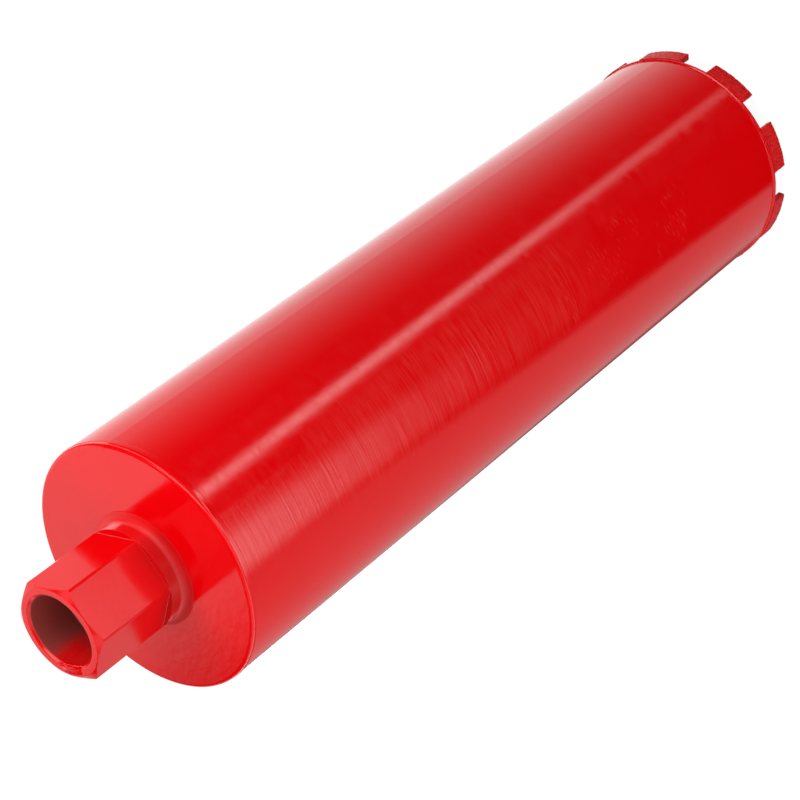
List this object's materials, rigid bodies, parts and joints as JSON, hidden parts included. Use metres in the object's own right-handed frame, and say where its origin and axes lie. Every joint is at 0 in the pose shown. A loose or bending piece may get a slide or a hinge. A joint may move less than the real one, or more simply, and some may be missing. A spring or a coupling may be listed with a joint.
{
  "type": "diamond core bit",
  "caption": "Red painted wet core bit: long steel tube with a crown of curved diamond segments, closed by a plate with a hexagonal threaded hub.",
  "frame": {"origin": "on the axis, in the plane of the cutting faces, which is the middle of the bottom of the bounding box", "axes": "+Z along the axis from the crown up to the hub; +X through the middle of segment_01 and of one flat of the hexagon"},
  "size_m": [0.1167, 0.117, 0.475],
  "materials": {
    "red_lacquer": "semi-gloss red lacquer over turned steel, bare dark steel inside the bore and the tube",
    "segment_grit": "granular metal-bonded abrasive, sprayed with the same red lacquer"
  },
  "bodies": {
    "root": {"barrel_tube": "red_lacquer", "back_plate": "red_lacquer", "hub": "red_lacquer", "segment_01": "segment_grit", "segment_02": "segment_grit", "segment_03": "segment_grit", "segment_04": "segment_grit", "segment_05": "segment_grit", "segment_06": "segment_grit", "segment_07": "segment_grit", "segment_08": "segment_grit", "segment_09": "segment_grit"}
  },
  "joints": []
}
